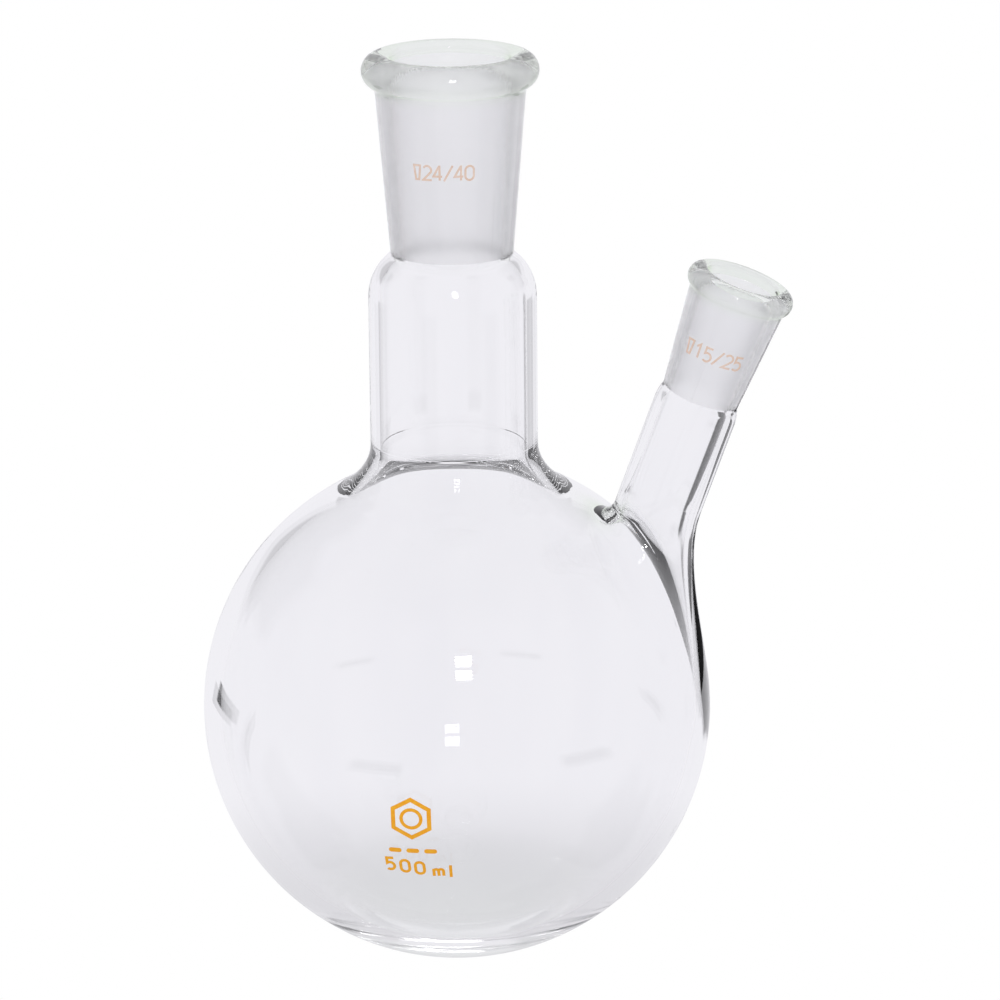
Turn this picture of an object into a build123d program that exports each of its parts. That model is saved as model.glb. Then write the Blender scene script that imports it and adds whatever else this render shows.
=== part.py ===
from build123d import *

import os
from dataclasses import dataclass
from math import atan2, cos, degrees, radians, sin, sqrt

# Two-neck round-bottom flask, 500 ml, borosilicate glass, in millimetres.
# The origin is the lowest point of the bulb, +Z runs up the centre neck, the
# side neck leans towards +X, and the enamel marks face -Y.
#
# It is made the way a glassblower makes it: a blown bulb with two short stubs,
# a length of tube for each neck, and a ready-ground taper socket on each tube.
# Each blank meets the next on one flat ring, where the glass is fused.

# ---- Bulb ---------------------------------------------------------------
BULB_R = 52.5
BULB_WALL = 3.5
BULB_CENTRE = BULB_R  # height of the centre above the bottom pole
FLOOR_RISE = 8.0  # thickness of the heavy bottom, at the pole
FLOOR_R = 95.0  # radius of the flatter dish inside it
FLOOR_FILLET = 18.0

# ---- Centre neck --------------------------------------------------------
NECK_R = 17.15
NECK_WALL = 2.2
NECK_ROOT_FILLET = 8.0
NECK_SEAM = 109.0  # where the bulb's stub ends and the neck tube begins
SHOULDER_START = 139.9  # where the tube turns in to its socket

# ---- Side neck ----------------------------------------------------------
SIDE_TILT = 20.0  # degrees from the centre neck's axis
SIDE_OFFSET = 26.0  # how far its axis stands from the bulb's centre, level with it
SIDE_R = 8.65
SIDE_WALL = 1.9
SIDE_ROOT = 20.0  # along the side axis, like the three heights below it
SIDE_SEAM = 50.0
SIDE_SHOULDER_START = 69.0
SIDE_ROOT_FILLET = 5.0
SIDE_BORE_FILLET = 3.0


# ---- Ground taper sockets -----------------------------------------------
TAPER = 1 / 10  # standard taper of a ground joint, on diameter
LIP_RISE = 1.2  # how far the mouth stands above the ground zone


@dataclass(frozen=True)
class Socket:
    """A ground taper socket, with radii from its own axis and heights along it."""

    seam: float  # height of the ground zone's small end, where it is fused on
    ground_d: float  # nominal size, the ground zone's large diameter
    ground_length: float
    foot_wall: float  # thickness at the small end
    head_wall: float  # thickness behind the bead
    bead_r: float  # section of the bead round the mouth
    bead_x: float  # how far the bead's middle stands from the axis

    @property
    def bead_y(self):
        return self.seam + self.ground_length + LIP_RISE - self.bead_r

    @property
    def foot_r(self):
        return self.bore_r(self.seam) + self.foot_wall

    @property
    def head_r(self):
        return self.bore_r(self.bead_y) + self.head_wall

    def bore_r(self, height):
        """Radius of the ground bore at a height."""
        below_top = self.seam + self.ground_length - height
        return (self.ground_d - below_top * TAPER) / 2

    def wall_r(self, height):
        """Outer radius of the wall at a height below the bead."""
        share = (height - self.seam) / (self.bead_y - self.seam)
        return self.foot_r + share * (self.head_r - self.foot_r)


CENTRE_SOCKET = Socket(148.8, 24.0, 40.0, 2.5, 3.75, 3.5, 14.5)
SIDE_SOCKET = Socket(72.6, 15.0, 25.0, 1.73, 2.75, 2.4, 8.75)

# ---- Enamel marks -------------------------------------------------------
ENAMEL = 0.08  # thickness of the fired-on print
STAMP_DEPTH = 1.6  # how far each glyph's stamp reaches to either side of the glass
SIZE_HEIGHT = 2.9  # height of the size marks' figures
SIZE_PEN = 0.42
SIZE_PITCH = 2.13  # from figure to figure
CENTRE_MARK_HEIGHT = 166.8  # baseline, up the centre neck
CENTRE_MARK_ACROSS = 0.9
SIDE_MARK_HEIGHT = 82.2  # baseline, along the side axis
CAPACITY_HEIGHT = 2.9
CAPACITY_PEN = 0.6
CAPACITY_UP = -20.4  # the capacity mark's baseline, round the ball from its equator
CAPACITY_SLANT = -7.0  # degrees, as the transfer was laid on
CAPACITY_PITCH = 2.95
CAPACITY_ACROSS = 0.9
EMBLEM_UP = -7.4  # middle of the emblem, round the ball from its equator
EMBLEM_R = 4.7
EMBLEM_PEN = 1.0
RULE_UP = -14.8  # middle of the rule under the emblem
RULE_DASH = 2.6
RULE_PITCH = 3.6

# ---- The side neck's own frame ------------------------------------------
side_along = Vector(sin(radians(SIDE_TILT)), 0, cos(radians(SIDE_TILT)))
side_across = Vector(cos(radians(SIDE_TILT)), 0, -sin(radians(SIDE_TILT)))
side_origin = Vector(SIDE_OFFSET, 0, BULB_CENTRE)
side_base = Plane(origin=side_origin, x_dir=side_across, z_dir=side_along)
side_section = Plane(origin=side_origin, x_dir=side_across, z_dir=(0, -1, 0))
side_axis = Axis(origin=side_origin, direction=side_along)


# ---- Sections, each a half outline to turn about its own axis -----------
def ball_section(radius, stub_r, root_fillet):
    """A ball with a filleted stub on top, up to the neck seam."""
    root_x = stub_r + root_fillet
    root_y = sqrt((radius + root_fillet) ** 2 - root_x**2)
    turn = degrees(atan2(root_y, root_x))
    with BuildSketch() as section:
        with BuildLine():
            CenterArc((0, BULB_CENTRE), radius, -90, 90 + turn)
            CenterArc((root_x, BULB_CENTRE + root_y), root_fillet, 180, turn)
            Polyline(
                (stub_r, BULB_CENTRE + root_y),
                (stub_r, NECK_SEAM),
                (0, NECK_SEAM),
                (0, BULB_CENTRE - radius),
            )
        make_face()
    return section.sketch


def tube_section(tube_r, wall, first, start, socket):
    """A tube from first up to start, and the rounded shoulder up to its socket."""
    rise = socket.seam - start
    turn_in = tube_r - socket.foot_r
    outer_turn = (rise**2 + turn_in**2) / (2 * turn_in)
    inner_turn = outer_turn - wall
    middle = tube_r - outer_turn
    bore_r = socket.bore_r(socket.seam)
    inner_rise = sqrt(inner_turn**2 - (bore_r - middle) ** 2)
    outer_arc = degrees(atan2(rise, socket.foot_r - middle))
    inner_arc = degrees(atan2(inner_rise, bore_r - middle))
    with BuildSketch() as section:
        with BuildLine():
            Line((tube_r, first), (tube_r, start))
            CenterArc((middle, start), outer_turn, 0, outer_arc)
            Polyline(
                (socket.foot_r, socket.seam),
                (bore_r, socket.seam),
                (bore_r, start + inner_rise),
            )
            CenterArc((middle, start), inner_turn, 0, inner_arc)
            Polyline(
                (tube_r - wall, start),
                (tube_r - wall, first),
                (tube_r, first),
            )
        make_face()
    return section.sketch


def socket_section(socket):
    """A socket's wall, the bead round its mouth, and its ground bore."""
    above = socket.seam + socket.ground_length + 2 * LIP_RISE
    with BuildSketch() as section:
        with BuildLine():
            Polyline(
                (0, socket.seam),
                (socket.foot_r, socket.seam),
                (socket.head_r, socket.bead_y),
                (0, socket.bead_y),
                close=True,
            )
        make_face()
        with Locations((socket.bead_x, socket.bead_y)):
            Circle(socket.bead_r)
        throat = section.vertices().filter_by_position(
            Axis.Y, socket.bead_y - 1.5 * socket.bead_r, socket.bead_y - 0.5
        )
        fillet(throat.sort_by(Axis.X)[-1], socket.bead_r / 2)
        with BuildLine():
            Polyline(
                (0, socket.seam),
                (socket.bore_r(socket.seam), socket.seam),
                (socket.bore_r(above), above),
                (0, above),
                close=True,
            )
        make_face(mode=Mode.SUBTRACT)
        lip = section.vertices().filter_by_position(
            Axis.Y, socket.bead_y + socket.bead_r / 3, socket.bead_y + socket.bead_r
        )
        fillet(lip.sort_by(Axis.X)[0], socket.bead_r / 3)
    return section.sketch


def socket_skin_section(socket):
    """The thin skin of enamel that a size mark is cut from."""
    top = socket.bead_y - 2 * socket.bead_r
    with BuildSketch() as section:
        with BuildLine():
            Polyline(
                (socket.foot_r, socket.seam),
                (socket.foot_r + ENAMEL, socket.seam),
                (socket.wall_r(top) + ENAMEL, top),
                (socket.wall_r(top), top),
                close=True,
            )
        make_face()
    return section.sketch


# ---- Print --------------------------------------------------------------
def pen_strokes(character, h):
    """The lines that the pen follows for one character of height h."""
    w = 0.3 * h
    strokes = []
    if character == "1":
        with BuildLine() as figure:
            Polyline((-0.6 * w, 0.78 * h), (0.2 * w, h), (0.2 * w, 0))
        strokes = [figure.line]
    elif character == "2":
        with BuildLine() as figure:
            bow = CenterArc((0, 0.71 * h), 0.29 * h, 150, -185)
            Polyline(bow @ 1, (-w, 0), (w, 0))
        strokes = [figure.line]
    elif character == "4":
        with BuildLine() as arm:
            Polyline((w, 0.27 * h), (-w, 0.27 * h), (0.35 * w, h))
        with BuildLine() as stem:
            Line((0.45 * w, 1.06 * h), (0.45 * w, 0))
        strokes = [arm.line, stem.line]
    elif character == "5":
        with BuildLine() as figure:
            bowl = CenterArc((-0.05 * h, 0.31 * h), 0.31 * h, 125, -255)
            Polyline(bowl @ 0, (-0.75 * w, h), (0.85 * w, h))
        strokes = [figure.line]
    elif character == "/":
        with BuildLine() as bar:
            Line((-w, -0.05 * h), (w, 1.05 * h))
        strokes = [bar.line]
    elif character == "m":
        arch = 0.55 * w
        rise = 0.42 * h
        with BuildLine() as stem:
            Line((-2 * arch, 0), (-2 * arch, rise + 1.3 * arch))
        strokes = [stem.line]
        for middle in (-arch, arch):
            with BuildLine() as hoop:
                crown = CenterArc((middle, rise), arch, 180, -180)
                Line(crown @ 1, (middle + arch, 0))
            strokes.append(hoop.line)
    elif character == "l":
        with BuildLine() as stem:
            Line((0, 0), (0, 1.05 * h))
        strokes = [stem.line]
    elif character == "taper":
        corners = [(-0.8 * w, h), (0.8 * w, h), (0.4 * w, 0), (-0.4 * w, 0)]
        with BuildLine() as outline:
            Polyline(*corners, close=True)
        strokes = [outline.line]
    return strokes


def glyph(character, height, pen):
    """One character as pen strokes, standing on the origin and centred across it."""
    width = 0.6 * height
    with BuildSketch() as drawn:
        if character == "0":
            with Locations((0, height / 2)):
                SlotOverall(height + pen, width + pen, rotation=90)
                SlotOverall(
                    height - pen, width - pen, rotation=90, mode=Mode.SUBTRACT
                )
        for stroke in pen_strokes(character, height):
            trace(stroke, line_width=pen)
    return drawn.sketch


def ball_plane(across, up, slant=0.0):
    """The plane that touches the ball at a place measured round it from the front."""
    lift = up / BULB_R
    swing = across / (BULB_R * cos(lift))
    outward = Vector(sin(swing) * cos(lift), -cos(swing) * cos(lift), sin(lift))
    touching = Plane(
        origin=Vector(0, 0, BULB_CENTRE) + outward * BULB_R,
        x_dir=(cos(swing), sin(swing), 0),
        z_dir=outward,
    )
    return touching.rotated((0, 0, slant))


def socket_plane(base, socket, across, height):
    """The plane beside a socket's wall, across round it from the front, facing out."""
    radius = socket.wall_r(height)
    swing = across / radius
    outward = base.x_dir * sin(swing) - base.y_dir * cos(swing)
    return Plane(
        origin=base.origin + base.z_dir * height + outward * radius,
        x_dir=base.x_dir * cos(swing) + base.y_dir * sin(swing),
        z_dir=outward,
    )


def spread(text, pitch):
    """Each character of a text with its place across, centred on the whole."""
    middle = (len(text) - 1) / 2
    return [(mark, (place - middle) * pitch) for place, mark in enumerate(text)]


# ---- Bulb ---------------------------------------------------------------
with BuildPart() as envelope:
    with BuildSketch(Plane.XZ):
        add(ball_section(BULB_R, NECK_R, NECK_ROOT_FILLET))
    revolve(axis=Axis.Z)
    with BuildSketch(side_base.offset(SIDE_SEAM)):
        Circle(SIDE_R)
    extrude(amount=SIDE_ROOT - SIDE_SEAM)
    fillet(edges(Select.NEW), SIDE_ROOT_FILLET)

with BuildPart() as cavity:
    with BuildSketch(Plane.XZ):
        add(
            ball_section(
                BULB_R - BULB_WALL, NECK_R - NECK_WALL, NECK_ROOT_FILLET + NECK_WALL
            )
        )
    revolve(axis=Axis.Z)
    with BuildSketch(side_base.offset(SIDE_SEAM)):
        Circle(SIDE_R - SIDE_WALL)
    extrude(amount=SIDE_ROOT - SIDE_SEAM)
    fillet(edges(Select.NEW), SIDE_BORE_FILLET)
    with Locations((0, 0, FLOOR_RISE + FLOOR_R)):
        Sphere(FLOOR_R, mode=Mode.INTERSECT)
    fillet(edges(Select.NEW), FLOOR_FILLET)

with BuildPart() as bulb:
    add(envelope.part)
    add(cavity.part, mode=Mode.SUBTRACT)

# ---- Centre neck and its 24/40 socket -----------------------------------
with BuildPart() as centre_neck:
    with BuildSketch(Plane.XZ):
        add(tube_section(NECK_R, NECK_WALL, NECK_SEAM, SHOULDER_START, CENTRE_SOCKET))
    revolve(axis=Axis.Z)

with BuildPart() as centre_joint:
    with BuildSketch(Plane.XZ):
        add(socket_section(CENTRE_SOCKET))
    revolve(axis=Axis.Z)

# ---- Side neck and its 15/25 socket -------------------------------------
with BuildPart() as side_neck:
    with BuildSketch(side_section):
        add(
            tube_section(SIDE_R, SIDE_WALL, SIDE_SEAM, SIDE_SHOULDER_START, SIDE_SOCKET)
        )
    revolve(axis=side_axis)

with BuildPart() as side_joint:
    with BuildSketch(side_section):
        add(socket_section(SIDE_SOCKET))
    revolve(axis=side_axis)

# ---- Skins that the print is cut from -----------------------------------
with BuildPart() as ball_skin:
    with Locations((0, 0, BULB_CENTRE)):
        Sphere(BULB_R + ENAMEL)
        Sphere(BULB_R, mode=Mode.SUBTRACT)

with BuildPart() as centre_skin:
    with BuildSketch(Plane.XZ):
        add(socket_skin_section(CENTRE_SOCKET))
    revolve(axis=Axis.Z)

with BuildPart() as side_skin:
    with BuildSketch(side_section):
        add(socket_skin_section(SIDE_SOCKET))
    revolve(axis=side_axis)

# ---- Size marks on the sockets ------------------------------------------
with BuildPart() as centre_joint_mark:
    for mark, place in spread(["taper", "2", "4", "/", "4", "0"], SIZE_PITCH):
        across = place + CENTRE_MARK_ACROSS
        with BuildSketch(
            socket_plane(Plane.XY, CENTRE_SOCKET, across, CENTRE_MARK_HEIGHT)
        ):
            add(glyph(mark, SIZE_HEIGHT, SIZE_PEN))
        extrude(amount=STAMP_DEPTH, both=True)
    add(centre_skin.part, mode=Mode.INTERSECT)

with BuildPart() as side_joint_mark:
    for mark, across in spread(["taper", "1", "5", "/", "2", "5"], SIZE_PITCH):
        with BuildSketch(
            socket_plane(side_base, SIDE_SOCKET, across, SIDE_MARK_HEIGHT)
        ):
            add(glyph(mark, SIZE_HEIGHT, SIZE_PEN))
        extrude(amount=STAMP_DEPTH, both=True)
    add(side_skin.part, mode=Mode.INTERSECT)

# ---- Capacity mark and plain emblem on the ball -------------------------
with BuildPart() as capacity_mark:
    for mark, place in (("5", -1.9), ("0", -0.9), ("0", 0.1), ("m", 1.35), ("l", 2.17)):
        across = place * CAPACITY_PITCH + CAPACITY_ACROSS
        up = CAPACITY_UP + across * sin(radians(CAPACITY_SLANT))
        with BuildSketch(ball_plane(across, up, CAPACITY_SLANT)):
            add(glyph(mark, CAPACITY_HEIGHT, CAPACITY_PEN))
        extrude(amount=STAMP_DEPTH, both=True)
    add(ball_skin.part, mode=Mode.INTERSECT)

with BuildPart() as emblem_mark:
    with BuildSketch(ball_plane(0, EMBLEM_UP)):
        RegularPolygon(EMBLEM_R, 6, rotation=30)
        RegularPolygon(EMBLEM_R - EMBLEM_PEN, 6, rotation=30, mode=Mode.SUBTRACT)
        Circle(0.5 * EMBLEM_R)
        Circle(0.5 * EMBLEM_R - 0.7 * EMBLEM_PEN, mode=Mode.SUBTRACT)
    extrude(amount=STAMP_DEPTH, both=True)
    for across in (-RULE_PITCH, 0, RULE_PITCH):
        with BuildSketch(ball_plane(across, RULE_UP)):
            SlotOverall(RULE_DASH, EMBLEM_PEN)
        extrude(amount=STAMP_DEPTH, both=True)
    add(ball_skin.part, mode=Mode.INTERSECT)

# ---- Files --------------------------------------------------------------
FINISHED = {
    "bulb": bulb,
    "centre_neck": centre_neck,
    "centre_joint": centre_joint,
    "side_neck": side_neck,
    "side_joint": side_joint,
    "centre_joint_mark": centre_joint_mark,
    "side_joint_mark": side_joint_mark,
    "capacity_mark": capacity_mark,
    "emblem_mark": emblem_mark,
}
os.makedirs("parts", exist_ok=True)
for name, finished in FINISHED.items():
    finished.part.label = name
    export_step(finished.part, f"parts/{name}.step")
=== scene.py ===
"""Two-neck round-bottom flask of blown and ground glass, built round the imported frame.

Lengths are in millimetres until a mesh is made, and MM turns them into metres.
"""

import logging
from dataclasses import dataclass
from enum import Enum
from math import asin, atan2, ceil, cos, pi, radians, sin, sqrt, tau

import bpy
import numpy as np
from mathutils import Matrix, Vector


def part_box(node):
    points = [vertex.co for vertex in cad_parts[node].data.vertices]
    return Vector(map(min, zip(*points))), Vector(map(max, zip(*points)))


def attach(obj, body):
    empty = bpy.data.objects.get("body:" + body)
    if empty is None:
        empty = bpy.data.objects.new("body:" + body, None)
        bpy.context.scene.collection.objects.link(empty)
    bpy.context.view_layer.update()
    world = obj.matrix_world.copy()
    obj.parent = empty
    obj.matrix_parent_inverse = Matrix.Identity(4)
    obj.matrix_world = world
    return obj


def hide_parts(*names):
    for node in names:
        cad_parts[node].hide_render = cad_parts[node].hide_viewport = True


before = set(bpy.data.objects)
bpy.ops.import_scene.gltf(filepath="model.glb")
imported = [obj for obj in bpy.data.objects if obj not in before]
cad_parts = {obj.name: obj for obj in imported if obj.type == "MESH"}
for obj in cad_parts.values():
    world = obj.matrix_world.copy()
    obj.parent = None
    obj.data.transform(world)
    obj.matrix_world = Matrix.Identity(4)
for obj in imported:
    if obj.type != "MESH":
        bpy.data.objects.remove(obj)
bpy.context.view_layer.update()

MM = 0.001
WELD = 0.000004  # metres, under the finest spacing round a pole
SMOOTH_ANGLE = radians(32)
ARC_STEP = radians(7)  # the widest step round an arc of an outline
FAR = 1e6  # stands for no glass on this side

log = logging.getLogger("flask")


# ---- Small geometry ------------------------------------------------------
class Turn(Enum):
    """Which way an arc of an outline runs, seen with the axis on the left."""

    LEFT = 1
    RIGHT = -1


class Slot(Enum):
    """The record's material slots."""

    CLEAR = "clear_glass"
    GROUND = "ground_glass"
    TAN = "tan_enamel"
    AMBER = "amber_enamel"


@dataclass(frozen=True)
class TurningAxis:
    """A line that round glass is turned about.

    along runs up the axis, and across is where a turned outline starts.
    """

    origin: Vector
    along: Vector
    across: Vector

    @property
    def front(self) -> Vector:
        """The third direction, square to the other two."""
        return self.along.cross(self.across)

    def point(self, radius: float, height: float) -> Vector:
        """A point of an outline, before it is turned."""
        return self.origin + self.across * radius + self.along * height

    def split(self, points: np.ndarray) -> tuple[np.ndarray, np.ndarray, np.ndarray]:
        """Takes points apart by this axis.

        Args:
            points: N by 3 places, in millimetres.

        Returns:
            How far each lies across, in front and along.
        """
        away = points - np.array(self.origin)
        return tuple(away @ np.array(d) for d in (self.across, self.front, self.along))


class Outline:
    """Half a section of turned glass, as points of radius and height."""

    def __init__(self, radius: float, height: float, pitch: float) -> None:
        """Starts at one point, to run on in steps of about a pitch."""
        self.pitch = pitch
        self.points = [Vector((radius, height))]

    def line(self, radius: float, height: float) -> "Outline":
        """Runs straight to a point.

        Args:
            radius: The point's distance from the axis.
            height: The point's height along the axis.

        Returns:
            The outline.
        """
        start, end = self.points[-1], Vector((radius, height))
        steps = max(1, ceil((end - start).length / self.pitch))
        self.points += [start.lerp(end, n / steps) for n in range(1, steps + 1)]
        return self

    def arc(self, centre: Vector, end: Vector, turn: Turn) -> "Outline":
        """Runs round a centre to a point.

        Args:
            centre: Middle of the arc.
            end: Where it stops.
            turn: Which way it goes round.

        Returns:
            The outline.
        """
        start = self.points[-1] - centre
        first = atan2(start.y, start.x)
        last = atan2(end.y - centre.y, end.x - centre.x)
        sweep = turn.value * ((last - first) * turn.value % tau)
        by_pitch = ceil(abs(sweep) * start.length / self.pitch)
        steps = max(by_pitch, ceil(abs(sweep) / ARC_STEP))
        for n in range(1, steps):
            angle = first + sweep * n / steps
            self.points.append(centre + Vector((cos(angle), sin(angle))) * start.length)
        self.points.append(end.copy())
        return self


def select_nothing() -> None:
    """Leaves object mode with nothing selected, so that an operator meets only its own."""
    if bpy.context.object and bpy.context.object.mode != "OBJECT":
        bpy.ops.object.mode_set(mode="OBJECT")
    bpy.ops.object.select_all(action="DESELECT")


def take(piece: bpy.types.Object) -> None:
    """Selects one piece alone and makes it active."""
    select_nothing()
    piece.select_set(True)
    bpy.context.view_layer.objects.active = piece


def places(piece: bpy.types.Object) -> np.ndarray:
    """A piece's vertices as N by 3 millimetres."""
    flat = np.empty(len(piece.data.vertices) * 3)
    piece.data.vertices.foreach_get("co", flat)
    return flat.reshape(-1, 3) / MM


def put(piece: bpy.types.Object, points: np.ndarray) -> None:
    """Moves a piece's vertices to N by 3 places in millimetres."""
    piece.data.vertices.foreach_set("co", (points * MM).ravel())
    piece.data.update()


def pick(piece: bpy.types.Object, kind: str, wanted: np.ndarray) -> None:
    """Selects a piece's edges or faces in edit mode.

    Args:
        piece: The piece, which becomes active.
        kind: EDGE or FACE.
        wanted: One true or false for each.
    """
    take(piece)
    bpy.ops.object.mode_set(mode="EDIT")
    bpy.ops.mesh.select_mode(type=kind)
    bpy.ops.mesh.select_all(action="DESELECT")
    bpy.ops.object.mode_set(mode="OBJECT")
    parts = piece.data.edges if kind == "EDGE" else piece.data.polygons
    parts.foreach_set("select", wanted.astype(bool))
    bpy.ops.object.mode_set(mode="EDIT")


def face_centres(piece: bpy.types.Object) -> np.ndarray:
    """The middle of each face, as N by 3 millimetres."""
    flat = np.empty(len(piece.data.polygons) * 3)
    piece.data.polygons.foreach_get("center", flat)
    return flat.reshape(-1, 3) / MM


def open_edges(piece: bpy.types.Object) -> tuple[np.ndarray, np.ndarray]:
    """The edges with a face on one side only.

    Args:
        piece: The piece to look at.

    Returns:
        One true or false for each edge, and each edge's middle in millimetres.
    """
    mesh = piece.data
    used = np.empty(len(mesh.loops), int)
    mesh.loops.foreach_get("edge_index", used)
    ends = np.empty(len(mesh.edges) * 2, int)
    mesh.edges.foreach_get("vertices", ends)
    middles = places(piece)[ends.reshape(-1, 2)].mean(axis=1)
    return np.bincount(used, minlength=len(mesh.edges)) == 1, middles


class Lathe:
    """Turns outlines about an axis."""

    def __init__(self, axis: TurningAxis, steps: int) -> None:
        """Takes the axis and how many steps make a full turn."""
        self.axis = axis
        self.steps = steps

    def turn(self, name: str, outline: Outline, ring: bool) -> bpy.types.Object:
        """Spins an outline into a piece.

        Args:
            name: The piece's name.
            outline: Its half section.
            ring: True if the last point joins the first, as in a tube's wall.

        Returns:
            The turned piece.
        """
        points = np.array([self.axis.point(*p) for p in outline.points])
        select_nothing()
        bpy.ops.mesh.primitive_circle_add(vertices=len(points), radius=outline.pitch * MM)
        piece = bpy.context.object
        piece.name = piece.data.name = name
        put(piece, points)
        if not ring:
            ends = np.array([sorted(e.vertices) for e in piece.data.edges])
            pick(piece, "EDGE", (ends == [0, len(points) - 1]).all(axis=1))
            bpy.ops.mesh.delete(type="EDGE")
        take(piece)
        bpy.ops.object.mode_set(mode="EDIT")
        bpy.ops.mesh.select_mode(type="VERT")
        bpy.ops.mesh.select_all(action="SELECT")
        bpy.ops.mesh.spin(
            steps=self.steps,
            angle=tau,
            center=self.axis.origin * MM,
            axis=self.axis.along,
        )
        bpy.ops.mesh.select_all(action="SELECT")
        bpy.ops.mesh.remove_doubles(threshold=WELD)
        bpy.ops.mesh.normals_make_consistent(inside=False)
        bpy.ops.object.mode_set(mode="OBJECT")
        return piece


# ---- Shader maths --------------------------------------------------------
class Wire:
    """A node's output that can be added, multiplied and mixed."""

    def __init__(self, desk: "Desk", socket: bpy.types.NodeSocket) -> None:
        """Takes the desk that the node lies on and its output."""
        self.desk = desk
        self.socket = socket

    def _with(self, operation: str, *inputs: "Wire | float") -> "Wire":
        """Adds one Math node."""
        values = dict(enumerate(inputs))
        return self.desk.node("ShaderNodeMath", {"operation": operation}, values)

    def __add__(self, other: "Wire | float") -> "Wire":
        """Sum."""
        return self._with("ADD", self, other)

    def __sub__(self, other: "Wire | float") -> "Wire":
        """Difference."""
        return self._with("SUBTRACT", self, other)

    def __rsub__(self, other: float) -> "Wire":
        """Difference from a number."""
        return self._with("SUBTRACT", other, self)

    def __mul__(self, other: "Wire | float") -> "Wire":
        """Product."""
        return self._with("MULTIPLY", self, other)

    __radd__ = __add__
    __rmul__ = __mul__

    def between(self, low: float, high: float, soft: float) -> "Wire":
        """One where this lies between two values, falling to nought over soft."""
        return self.ramp(low - soft, low + soft) * (1 - self.ramp(high - soft, high + soft))

    def ramp(self, low: float, high: float) -> "Wire":
        """Nought below low and one above high, smooth between them."""
        settings = {"interpolation_type": "SMOOTHSTEP"}
        values = {"Value": self, "From Min": low, "From Max": high}
        return self.desk.node("ShaderNodeMapRange", settings, values)

    def blend(self, low: "tuple | Wire", high: "tuple | Wire") -> "Wire":
        """Mixes two colours by this value."""
        values = {"Factor": self, "A": low, "B": high}
        return self.desk.node("ShaderNodeMix", {"data_type": "RGBA"}, values, "Result")


class Desk:
    """Lays out the nodes of one material or world."""

    def __init__(self, owner: bpy.types.Material | bpy.types.World) -> None:
        """Clears the owner's nodes."""
        owner.use_nodes = True
        self.tree = owner.node_tree
        self.tree.nodes.clear()

    def node(
        self, kind: str, settings: dict | None = None, values: dict | None = None,
        output: str | int = 0,
    ) -> Wire:
        """Adds one node.

        Args:
            kind: Its type.
            settings: Its properties, such as a Math node's operation, which are set first.
            values: Numbers, colours or wires for its inputs, by name or place.
            output: Which output to give back, by name or place.

        Returns:
            That output.
        """
        made = self.tree.nodes.new(kind)
        for name, setting in (settings or {}).items():
            setattr(made, name, setting)
        for name, value in (values or {}).items():
            socket = self._enabled(made.inputs, name)
            if isinstance(value, Wire):
                self.tree.links.new(value.socket, socket)
            elif socket.type == "RGBA" and len(value) == 3:
                socket.default_value = (*value, 1)
            else:
                socket.default_value = value
        found = self._enabled(made.outputs, output) if len(made.outputs) else None
        return Wire(self, found)

    def place(self) -> Wire:
        """Where a point lies on its piece, in metres."""
        return self.node("ShaderNodeTexCoord", None, None, "Object")

    def noise(self, place: Wire, scale: float, detail: float) -> Wire:
        """A cloudy pattern, with a scale in clouds per metre."""
        values = {"Vector": place, "Scale": scale, "Detail": detail}
        return self.node("ShaderNodeTexNoise", None, values)

    def drawn_noise(self, place: Wire, scale: tuple, detail: float) -> Wire:
        """A cloudy pattern with its own scale along each axis, for streaks and rings."""
        stretched = self.node("ShaderNodeMapping", None, {"Vector": place, "Scale": scale})
        return self.noise(stretched, 1.0, detail)

    def relief(self, height: Wire, strength: float, deep: float) -> Wire:
        """A bumpy surface's normals, with a greatest depth in metres."""
        values = {"Strength": strength, "Distance": deep, "Height": height}
        return self.node("ShaderNodeBump", None, values)

    def parts(self, vector: Wire) -> tuple[Wire, ...]:
        """The three parts of a vector."""
        made = self.node("ShaderNodeSeparateXYZ", None, {"Vector": vector})
        return tuple(Wire(self, s) for s in made.socket.node.outputs)

    def heading(self, x: Wire, y: Wire) -> Wire:
        """A direction's angle round from straight back, growing to the right."""
        return self.node("ShaderNodeMath", {"operation": "ARCTAN2"}, {0: x, 1: y})

    def tinted(self, colour: tuple, strength: Wire) -> Wire:
        """A colour scaled by a strength."""
        values = {0: colour, "Scale": strength}
        return self.node("ShaderNodeVectorMath", {"operation": "SCALE"}, values)

    def seen_or(self, light: Wire) -> Wire:
        """White to the camera itself, and this light to everything else."""
        return self.path("Is Camera Ray").blend(light, (1, 1, 1))

    def path(self, output: str) -> Wire:
        """What is known of the ray that arrives."""
        return self.node("ShaderNodeLightPath", None, None, output)

    @staticmethod
    def _enabled(
        sockets: bpy.types.bpy_prop_collection, name: str | int
    ) -> bpy.types.NodeSocket:
        """The socket of a name that is in use, as a Mix node has several of one name."""
        if isinstance(name, int):
            return sockets[name]
        return next(s for s in sockets if s.name == name and s.enabled)

    def finish(self, surface: Wire) -> None:
        """Links the surface to the output."""
        world = any(n.type == "BACKGROUND" for n in self.tree.nodes)
        kind = "ShaderNodeOutputWorld" if world else "ShaderNodeOutputMaterial"
        self.node(kind, None, {"Surface": surface})


# ---- Finishes ------------------------------------------------------------
GLASS_IOR = 1.473
THICK = "thick_glass"  # attribute, one where the wall is thick enough to look green


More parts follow.
